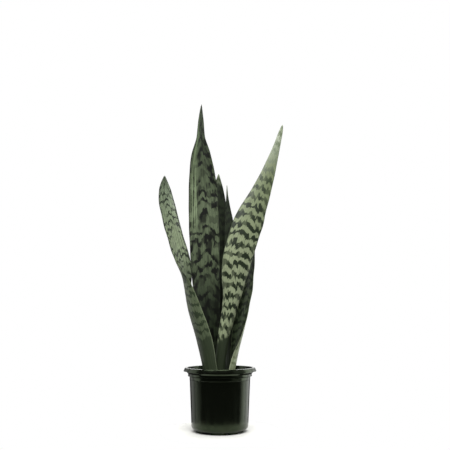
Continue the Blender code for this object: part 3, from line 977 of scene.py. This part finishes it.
# ---------------------------------------------------------------- pot
@dataclass(frozen=True)
class MouldedPolypropylene:
    """Black injection-moulded polypropylene: a dark satin skin with fine grain and soil dust."""

    colour: str = "070806"
    dust: str = "3a382c"
    grain_mm: float = 0.9  # the mould's real grain is about 0.2 mm, too fine to show
    dust_mm: float = 29.4  # size of the patches of soil dust
    scuff_mm: tuple[float, float] = (6.67, 111.0)  # width and height of the flow marks
    dusty_foot: tuple[float, float] = (0.030, 0.30)  # height that the dust reaches, how thick it lies
    dusty_rim: tuple[float, float] = (0.118, 0.05)  # height that it starts from, how thick it lies
    roughness: float = 0.15
    cast: tuple[float, float, float, float] = (0.76, 1.0, 0.58, 1.0)  # olive cast of its reflections

    def make(self) -> bpy.types.Material:
        """Make the material.

        Returns:
            The material.
        """
        # The polished mould gives tall dim reflections of the room, softened by the flow marks.
        material, shader = new_material("black_moulded_polypropylene", Ior=1.49, Specular_Tint=self.cast)
        tree = material.node_tree
        place = add_node(tree, "TexCoord").outputs["Object"]
        grain = add_node(
            tree, "TexNoise", {"Vector": place, "Scale": 1000 / self.grain_mm, "Detail": 2.0}
        ).outputs[0]
        patches = add_node(
            tree, "TexNoise", {"Vector": place, "Scale": 1000 / self.dust_mm, "Detail": 5.0}
        ).outputs[0]
        width, rise = self.scuff_mm
        cells = (1000 / width, 1000 / width, 1000 / rise)
        flow = add_node(tree, "VectorMath", {0: place, 1: cells}, operation="MULTIPLY")
        scuffs = add_node(tree, "TexNoise", {"Vector": flow, "Scale": 1.0, "Detail": 3.0}).outputs[0]
        height = add_node(tree, "SeparateXYZ", {0: place}).outputs[2]
        low, high = (
            add_node(tree, "MapRange", {0: height, "From Min": start, "From Max": full, "To Max": most})
            for (start, most), full in ((self.dusty_foot, 0.0), (self.dusty_rim, POT_HEIGHT))
        )
        ends = add_node(tree, "Math", {0: low, 1: high}, operation="ADD")
        spots = add_node(tree, "MapRange", {0: patches, "From Min": 0.5, "From Max": 0.68})
        share = add_node(tree, "Math", {0: ends, 1: spots}, operation="MULTIPLY")
        colour = add_node(
            tree, "Mix", {MIX_COLOUR: share, MIX_A: linear(self.colour), MIX_B: linear(self.dust)},
            data_type="RGBA",
        ).outputs[MIX_RESULT]
        worn = add_node(
            tree, "MapRange",
            {0: scuffs, "From Min": 0.35, "From Max": 0.7, "To Min": self.roughness - 0.03,
             "To Max": self.roughness + 0.08},
        )
        satin = add_node(tree, "Math", {0: share, 1: 0.5, 2: worn}, operation="MULTIPLY_ADD")
        link_surface(tree, shader, colour, satin.outputs[0], grain, 0.12, 0.0001)
        return material


@dataclass
class NurseryPot:
    """Thin-walled round pot with a turned-down lip, two bands and a ring of low feet."""

    finish: MouldedPolypropylene
    height: float = POT_HEIGHT
    body_radius: float = 0.0626
    foot_radius: float = 0.0582  # outside of the body at its foot
    wall: float = 0.0016
    corner: float = 0.0085
    mouth_radius: float = 0.0675
    lip_radius: float = 0.0735
    skirt_radius: float = 0.0760
    skirt_drop: float = 0.0070
    lip_round: float = 0.0010
    upper_band: tuple[float, float, float] = (0.0663, 0.0120, 0.0170)  # radius, top and foot below the rim
    lower_band: tuple[float, float, float] = (0.0632, 0.0180, 0.0235)
    band_edge: float = 0.0004
    throat: float = 0.0030
    foot_height: float = 0.0034
    foot_chamfer: float = 0.0006
    feet: tuple[float, float] = (0.0460, 0.0500)  # inside and outside radius of the ring
    gaps: tuple[tuple[float, float], ...] = (  # angle from the front towards +X, width in metres
        (-32.5, 0.020), (17.5, 0.006), (57.5, 0.020), (107.5, 0.006),
        (147.5, 0.020), (197.5, 0.006), (237.5, 0.020), (287.5, 0.006),
    )
    centre_hole: float = 0.0060
    drains: tuple[float, float, float] = (0.0375, 0.0445, 15.0)  # radii and the angle that a slot spans
    segments: int = 192
    foot_step: float = 3.0  # degrees
    edge_round: float = 0.0003
    crisp_angle: float = 0.5  # edges that turn by more than this, in radians, are rounded

    def profile(self) -> list[tuple[float, float]]:
        """Outline the wall.

        Returns:
            Points (radius, height), from the centre hole's underside out, up and back inside.
        """
        top = self.height
        corner = (self.foot_radius - self.corner, self.foot_height + self.corner)
        lower, lower_top, lower_foot = self.lower_band
        upper, upper_top, upper_foot = self.upper_band
        root = self.mouth_radius + self.wall
        outside = [(self.centre_hole, self.foot_height), (self.drains[0], self.foot_height)]
        outside += [(self.drains[1], self.foot_height)]
        outside += arc(corner, self.corner, -86, 0, 10)  # starts a step outside the flat floor
        outside += [
            (self.body_radius, top - lower_foot - self.band_edge),
            (lower, top - lower_foot),
            (lower, top - lower_top),
            (self.body_radius, top - lower_top + self.band_edge),
            (upper, top - upper_foot),
            (upper, top - upper_top),
            (root, top - upper_top + self.throat),
            (root, top - self.wall),
            (self.lip_radius - self.wall, top - self.wall),
            (self.skirt_radius - self.wall, top - self.skirt_drop),
            (self.skirt_radius, top - self.skirt_drop),
        ]
        outside += arc((self.lip_radius - self.lip_round, top - self.lip_round), self.lip_round, 15, 90, 6)
        inside = arc((self.mouth_radius + self.lip_round, top - self.lip_round), self.lip_round, 90, 180, 6)
        inside += [
            (self.mouth_radius, top - upper_top + self.throat),
            (upper - self.wall, top - upper_top),
            (upper - self.wall, top - upper_foot),
            (self.body_radius - self.wall, top - upper_foot - self.band_edge),
            (self.body_radius - self.wall, top - lower_foot),
        ]
        inside += arc(corner, self.corner - self.wall, 0, -90, 8)
        floor = self.foot_height + self.wall
        inside += [(self.drains[1], floor), (self.drains[0], floor), (self.centre_hole, floor)]
        return outside + inside

    def cut_drains(self, bm: bmesh.types.BMesh) -> None:
        """Open a slot through the floor at each wide gap between the feet.

        Args:
            bm: the turned wall.
        """
        floor = self.foot_height + self.wall
        wide = max(width for _, width in self.gaps)
        for angle, width in self.gaps:
            if width < wide:
                continue
            slot = []
            for face in bm.faces:
                middle = face.calc_center_median()
                bearing = math.degrees(math.atan2(middle.x, -middle.y))
                off = abs((bearing - angle + 180) % 360 - 180)
                level = min(abs(middle.z - self.foot_height), abs(middle.z - floor)) < LEVEL_SLACK
                radial = self.drains[0] < math.hypot(middle.x, middle.y) < self.drains[1]
                if level and radial and off < self.drains[2] / 2:
                    slot.append(face)
            bmesh.ops.delete(bm, geom=slot, context="FACES")
            bmesh.ops.bridge_loops(bm, edges=[edge for edge in bm.edges if edge.is_boundary])

    def add_feet(self, bm: bmesh.types.BMesh) -> None:
        """Add the ring of feet, open at its gaps, sunk a little into the floor.

        Args:
            bm: the pot's mesh, which gains the feet.
        """
        inside, outside = self.feet
        middle = (inside + outside) / 2
        top = self.foot_height + self.wall / 4
        outline = (
            (inside, top), (outside, top), (outside - self.foot_chamfer, 0), (inside + self.foot_chamfer, 0),
        )
        for (angle, width), (next_angle, next_width) in zip(self.gaps, self.gaps[1:] + self.gaps[:1]):
            start = angle + math.degrees(width / 2 / middle)
            end = next_angle - math.degrees(next_width / 2 / middle)
            sweep = math.radians((end - start) % 360)
            turn = Matrix.Rotation(math.radians(start - 90), 4, "Z")
            section = bm.faces.new([bm.verts.new(turn @ Vector((r, 0, z))) for r, z in outline])
            bmesh.ops.spin(
                bm, geom=[section], cent=(0, 0, 0), axis=(0, 0, 1), angle=sweep,
                steps=max(4, round(math.degrees(sweep) / self.foot_step)), use_duplicate=False,
            )

    def build(self) -> bmesh.types.BMesh:
        """Turn the wall, open its drains, round its edges and add its feet.

        Returns:
            The mesh.
        """
        bm = bmesh.new()
        points = [bm.verts.new((r, 0, z)) for r, z in self.profile()]
        edges = [bm.edges.new(pair) for pair in zip(points, points[1:] + points[:1])]
        bmesh.ops.spin(
            bm, geom=points + edges, cent=(0, 0, 0), axis=(0, 0, 1), angle=math.tau,
            steps=self.segments, use_merge=True,
        )
        bmesh.ops.remove_doubles(bm, verts=bm.verts, dist=MERGE_DISTANCE)
        self.cut_drains(bm)
        bmesh.ops.recalc_face_normals(bm, faces=bm.faces)
        crisp = [edge for edge in bm.edges if edge.is_manifold and edge.calc_face_angle() > self.crisp_angle]
        bmesh.ops.bevel(
            bm, geom=crisp, offset=self.edge_round, offset_type="OFFSET", affect="EDGES",
            segments=2, profile=0.5, material=-1, clamp_overlap=True,
        )
        self.add_feet(bm)
        bmesh.ops.recalc_face_normals(bm, faces=bm.faces)
        return bm

    def place(self) -> bpy.types.Object:
        """Build, dress and tie the pot, in the place of its CAD node.

        Returns:
            The pot.
        """
        item = finish_mesh("nursery_pot", self.build(), [self.finish.make()], sharp_angle=50)
        settle(item, "pot")
        return item


# ---------------------------------------------------------------- potting mix
@dataclass(frozen=True)
class LooseMatter:
    """Rough natural matter: peat, bark or perlite, with mottled colour and a crumbly relief."""

    name: str
    dark: str
    light: str
    grain_mm: float
    roughness: float = 0.92
    relief: float = 0.0006

    def make(self) -> bpy.types.Material:
        """Make the material.

        Returns:
            The material.
        """
        # Dry broken matter scatters the light, so it has no highlights and looks soft; its mottled colour
        # has painted shade in the gaps between clumps.
        material, shader = new_material(self.name, Ior=1.5, Specular_IOR_Level=0.25)
        tree = material.node_tree
        place = add_node(tree, "TexCoord").outputs["Object"]
        scale = 1000 / self.grain_mm
        grains = add_node(tree, "TexNoise", {"Vector": place, "Scale": scale, "Detail": 4.0}).outputs[0]
        clumps = add_node(tree, "TexVoronoi", {"Vector": place, "Scale": scale / 3}).outputs[0]
        share = add_node(tree, "MapRange", {0: grains, "From Min": 0.35, "From Max": 0.68})
        mottled = add_node(
            tree, "Mix", {MIX_COLOUR: share, MIX_A: linear(self.dark), MIX_B: linear(self.light)},
            data_type="RGBA",
        ).outputs[MIX_RESULT]
        # Painted shade: each clump is lighter at its middle and darker towards its edges, where the gaps
        # between crumbs lie.
        painted_clump_shade = add_node(tree, "MapRange", {0: clumps, "From Max": 0.8, "To Min": 1.15, "To Max": 0.6})
        colour = add_node(tree, "VectorMath", {0: mottled, "Scale": painted_clump_shade}, operation="SCALE")
        rough = add_node(
            tree, "MapRange", {0: grains, "To Min": self.roughness - 0.08, "To Max": self.roughness + 0.06}
        )
        link_surface(tree, shader, colour.outputs[0], rough.outputs[0], grains, 0.8, self.relief)
        return material


PEAT = LooseMatter("composted_peat", "0d0a07", "2f251b", 1.4)
BARK = LooseMatter("composted_pine_bark", "1d140d", "5c442f", 0.8, roughness=0.85, relief=0.0003)
PERLITE = LooseMatter("expanded_perlite", "b5b2a6", "e6e4da", 0.5, roughness=0.88, relief=0.0002)


@dataclass(frozen=True)
class Lumps:
    """One kind of small lump that lies on the mix."""

    name: str
    finish: LooseMatter
    count: int  # how many are tried
    size: tuple[float, float]  # smallest and largest length of a lump
    flatness: tuple[float, float, float]  # its length, width and height, as shares of its size
    stray: float  # how far its corners stray, as a share of its size
    shift: int  # changes where they fall


@dataclass
class PottingMix:
    """Crumbly surface of the mix: a rough crust, bark chips, peat crumbs and perlite grains."""

    blades: list[np.ndarray]  # points of each blade's skin
    lumps: tuple[Lumps, ...] = (
        Lumps("peat_crumbs", PEAT, 900, (0.0010, 0.0032), (1, 0.9, 0.7), 0.07, 1),
        Lumps("bark_chips", BARK, 330, (0.0028, 0.0085), (1, 0.6, 0.24), 0.05, 2),
        Lumps("perlite_grains", PERLITE, 130, (0.0012, 0.0030), (1, 0.9, 0.8), 0.05, 3),
    )
    radius: float = 0.0604
    rise: float = 0.0009  # the crust over the CAD solid's top
    relief: float = 0.0014
    hollows_per_metre: float = 150.0
    crumbs_per_metre: float = 620.0
    thickness: float = 0.0020
    blade_band: float = 0.004  # how far over and under the mix a blade counts
    gap: float = 0.0008  # least room between a lump and a blade
    tilt: float = 0.35  # spread of the lumps' tilt, in radians
    rings: int = 44
    segments: int = 160
    seed: int = 7

    def level(self, x: float, y: float) -> float:
        """Work out how high the crust is.

        Args:
            x: place to the right of the pot's axis.
            y: place behind it.

        Returns:
            The height.
        """
        share = math.hypot(x, y) / self.radius
        mound = MIX_MOUND * (1 - share**2)
        # The fractal's own numbers are its fall-off, its step in scale and its octaves.
        rough = noise.fractal(Vector((x, y, 0)) * self.hollows_per_metre, 0.9, 2.1, 4)
        crumbs = noise.noise(Vector((x, y, 0)) * self.crumbs_per_metre)
        return MIX_EDGE_Z + mound + self.rise + self.relief * (0.6 * rough + 0.3 * crumbs)

    def crust(self) -> bmesh.types.BMesh:
        """Turn the crust's outline and roughen its top.

        Returns:
            The closed mesh.
        """
        bm = bmesh.new()
        foot = MIX_EDGE_Z - self.thickness
        outline = [(self.radius * i / self.rings, MIX_EDGE_Z) for i in range(self.rings + 1)]
        outline += [(self.radius, foot), (0, foot)]
        points = [bm.verts.new((r, 0, z)) for r, z in outline]
        edges = [bm.edges.new(pair) for pair in zip(points, points[1:])]
        bmesh.ops.spin(
            bm, geom=points + edges, cent=(0, 0, 0), axis=(0, 0, 1), angle=math.tau,
            steps=self.segments, use_merge=True,
        )
        bmesh.ops.remove_doubles(bm, verts=bm.verts, dist=MERGE_DISTANCE)
        for vert in bm.verts:
            if vert.co.z > foot + self.thickness / 2:
                vert.co.z = self.level(vert.co.x, vert.co.y)
        bmesh.ops.recalc_face_normals(bm, faces=bm.faces)
        return bm

    def is_free(self, x: float, y: float, room: float) -> bool:
        """Tell whether a place on the mix is clear of every blade.

        Args:
            x: place to the right of the pot's axis.
            y: place behind it.
            room: the least distance to a blade.

        Returns:
            True where it is clear.
        """
        for points in self.blades:
            near = points[np.abs(points[:, 2] - MIX_EDGE_Z) < self.blade_band]
            if np.hypot(near[:, 0] - x, near[:, 1] - y).min() < room:
                return False
        return True

    def scatter(self, kind: Lumps) -> bmesh.types.BMesh:
        """Strew small lumps of 20 faces over the crust, clear of the blades.

        Args:
            kind: the lumps' number, sizes and shape.

        Returns:
            The lumps as one mesh.
        """
        chance = random.Random(self.seed + kind.shift)
        shortest, longest = kind.size
        bm = bmesh.new()
        for _ in range(kind.count):
            far = (self.radius - longest / 2) * math.sqrt(chance.random())
            bearing = chance.uniform(0, math.tau)
            x, y = far * math.cos(bearing), far * math.sin(bearing)
            length = shortest + (longest - shortest) * chance.random() ** 2
            if not self.is_free(x, y, self.gap + length * 0.45):
                continue
            tilt, roll = chance.gauss(0, self.tilt), chance.gauss(0, self.tilt)
            turn = Matrix.Rotation(chance.uniform(0, math.tau), 4, "Z")
            turn = turn @ Matrix.Rotation(tilt, 4, "X") @ Matrix.Rotation(roll, 4, "Y")
            z = self.level(x, y) + length * kind.flatness[2] * chance.uniform(0.1, 0.5)
            stretch = Matrix.Diagonal((*(part * chance.uniform(0.8, 1.2) for part in kind.flatness), 1))
            place = Matrix.Translation((x, y, z)) @ turn @ stretch
            made = bmesh.ops.create_icosphere(bm, subdivisions=1, radius=length / 2, matrix=place)
            for vert in made["verts"]:
                stray = Vector((chance.gauss(0, 1), chance.gauss(0, 1), chance.gauss(0, 0.5)))
                vert.co += stray * length * kind.stray
        bmesh.ops.recalc_face_normals(bm, faces=bm.faces)
        return bm

    def place(self) -> None:
        """Build, dress and tie the crust and what lies on it, and dress the CAD solid below."""
        finishes = {matter: matter.make() for matter in (PEAT, BARK, PERLITE)}
        dress_node("potting_mix", finishes[PEAT])
        settle(finish_mesh("mix_crust", self.crust(), [finishes[PEAT]]))
        for kind in self.lumps:
            item = finish_mesh(kind.name, self.scatter(kind), [finishes[kind.finish]], sharp_angle=35)
            settle(item)


# ---------------------------------------------------------------- rhizome
@dataclass(frozen=True)
class RhizomeSkin:
    """Papery orange-tan skin of an underground stem, with ring scars and dark fibres."""

    pale: str = "c79b5a"
    dark: str = "6f4a23"
    ring_mm: float = 4.0
    fibre_mm: float = 2.4

    def make(self) -> bpy.types.Material:
        """Make the material.

        Returns:
            The material.
        """
        # Dry papery scales are matt, with a dark line at each ring where a scale was shed.
        material, shader = new_material("rhizome_papery_skin", Ior=1.45)
        tree = material.node_tree
        place = add_node(tree, "TexCoord").outputs["Object"]
        scale = 50 * math.tau / self.ring_mm  # a wave texture has 20 / tau rings to a unit
        rings = add_node(
            tree, "TexWave", {"Vector": place, "Scale": scale, "Distortion": 4.0, "Detail": 3.0}
        ).outputs["Fac"]
        fibres = add_node(
            tree, "TexNoise", {"Vector": place, "Scale": 1000 / self.fibre_mm, "Detail": 5.0}
        ).outputs[0]
        share = add_node(tree, "Math", {0: rings, 1: fibres}, operation="MULTIPLY")
        reach = add_node(tree, "MapRange", {0: share, "From Max": 0.6})
        colour = add_node(
            tree, "Mix", {MIX_COLOUR: reach, MIX_A: linear(self.dark), MIX_B: linear(self.pale)},
            data_type="RGBA",
        ).outputs[MIX_RESULT]
        rough = add_node(tree, "MapRange", {0: fibres, "To Min": 0.5, "To Max": 0.8})
        link_surface(tree, shader, colour, rough.outputs[0], share.outputs[0], 0.6, 0.0004)
        return material


@dataclass
class Rhizome:
    """Underground stem and its roots, which keep their CAD solid."""

    finish: RhizomeSkin

    def dress(self) -> None:
        """Give the CAD node its skin."""
        dress_node("rhizome", self.finish.make())


# ---------------------------------------------------------------- studio
@dataclass(frozen=True)
class SoftBox:
    """A soft studio lamp aimed at the plant."""

    name: str
    position: tuple[float, float, float]
    aim: tuple[float, float, float]
    size: tuple[float, float]
    power: float  # watts

    def place(self) -> None:
        """Add the lamp."""
        lamp = bpy.data.lights.new(self.name, "AREA")
        lamp.shape = "RECTANGLE"
        lamp.size, lamp.size_y = self.size
        lamp.energy = self.power
        item = bpy.data.objects.new(self.name, lamp)
        item.location = self.position
        line = Vector(self.aim) - Vector(self.position)
        item.rotation_euler = line.to_track_quat("-Z", "Y").to_euler()
        bpy.context.scene.collection.objects.link(item)


@dataclass
class Studio:
    """Round pale table top, white surroundings, soft lamps and the camera.

    The tall lamps at the sides give the pot its long reflections, the key and the fill light the
    blades from the front, and the others light the back, the mix and the margins.
    """

    lamps: tuple[SoftBox, ...] = (
        SoftBox("left_side", (-1.15, 0.08, 0.45), (0, 0, 0.30), (0.70, 1.50), 3.5),
        SoftBox("left_rear", (-0.92, 0.69, 0.45), (0, 0, 0.30), (0.62, 1.50), 1.6),
        SoftBox("right_front", (1.05, -0.47, 0.45), (0, 0, 0.30), (0.88, 1.50), 1.1),
        SoftBox("right_side", (1.125, 0.24, 0.45), (0, 0, 0.30), (0.62, 1.50), 6.4),
        SoftBox("right_rear", (0.855, 0.77, 0.45), (0, 0, 0.30), (0.62, 1.50), 3.8),
        SoftBox("key", (0.25, -1.10, 1.90), (0, 0, 0.32), (1.10, 0.90), 48.0),
        SoftBox("fill", (-0.85, -1.00, 1.60), (0, 0, 0.32), (0.90, 0.90), 14.0),
        SoftBox("overhead", (0.0, 0.20, 2.20), (0, 0, 0.10), (1.4, 1.0), 24.0),
        SoftBox("back", (0.0, 1.60, 1.30), (0, 0, 0.32), (1.2, 0.9), 22.0),
        SoftBox("backdrop", (0.0, 1.40, 0.25), (0, 0, 0.25), (1.2, 0.6), 2.7),
    )
    floor_radius: float = 0.12
    floor_colour: str = "d2d2ce"
    grain_mm: float = 1.11  # of the laminate
    camera_place: tuple[float, float, float] = (0.0105, -1.2, 0.209)
    camera_tilt: float = 10.3  # degrees above level
    lens: float = 44.8  # millimetres, as the sensor's width
    sensor_width: float = 36.0
    surround: float = 0.06  # strength of the surroundings' light

    def floor(self) -> None:
        """Add the round table top."""
        bm = bmesh.new()
        bmesh.ops.create_circle(bm, cap_ends=True, segments=96, radius=self.floor_radius)
        # Matt laminate is even and pale, and mirrors next to nothing.
        material, shader = new_material("matt_white_laminate", Ior=1.45, Specular_IOR_Level=0.1)
        tree = material.node_tree
        place = add_node(tree, "TexCoord").outputs["Object"]
        grain = add_node(tree, "TexNoise", {"Vector": place, "Scale": 1000 / self.grain_mm}).outputs[0]
        rough = add_node(tree, "MapRange", {0: grain, "To Min": 0.8, "To Max": 0.95})
        tree.links.new(rough.outputs[0], shader.inputs["Roughness"])
        shader.inputs["Base Color"].default_value = linear(self.floor_colour)
        finish_mesh("table_top", bm, [material])

    def world(self) -> None:
        """Make the surroundings: white to look at, dim as a light."""
        world = bpy.data.worlds.new("white_surroundings")
        world.use_nodes = True
        tree = world.node_tree
        seen = add_node(tree, "LightPath").outputs["Is Camera Ray"]
        strength = add_node(tree, "MapRange", {0: seen, "To Min": self.surround, "To Max": 1.0})
        tree.links.new(strength.outputs[0], tree.nodes["Background"].inputs["Strength"])
        tree.nodes["Background"].inputs["Color"].default_value = (1, 1, 1, 1)
        bpy.context.scene.world = world

    def camera(self) -> None:
        """Add the camera and make it the scene's."""
        data = bpy.data.cameras.new("camera")
        data.lens = self.lens
        data.sensor_width = self.sensor_width
        item = bpy.data.objects.new("camera", data)
        item.location = self.camera_place
        item.rotation_euler = (math.radians(90 + self.camera_tilt), 0, 0)
        bpy.context.scene.collection.objects.link(item)
        bpy.context.scene.camera = item

    def place(self) -> None:
        """Set up the whole studio."""
        self.floor()
        self.world()
        self.camera()
        for lamp in self.lamps:
            lamp.place()
        bpy.context.scene.view_settings.view_transform = "Standard"
        LOG.info("studio: %d lamps", len(self.lamps))


def main() -> None:
    """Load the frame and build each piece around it."""
    logging.basicConfig(level=logging.INFO, format="%(name)s: %(message)s")
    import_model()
    for blade in BLADES:
        blade.place()
    NurseryPot(MouldedPolypropylene()).place()
    PottingMix([blade.surface().reshape(-1, 3) for blade in BLADES]).place()
    Rhizome(RhizomeSkin()).dress()
    Studio().place()


if __name__ == "__main__":
    main()
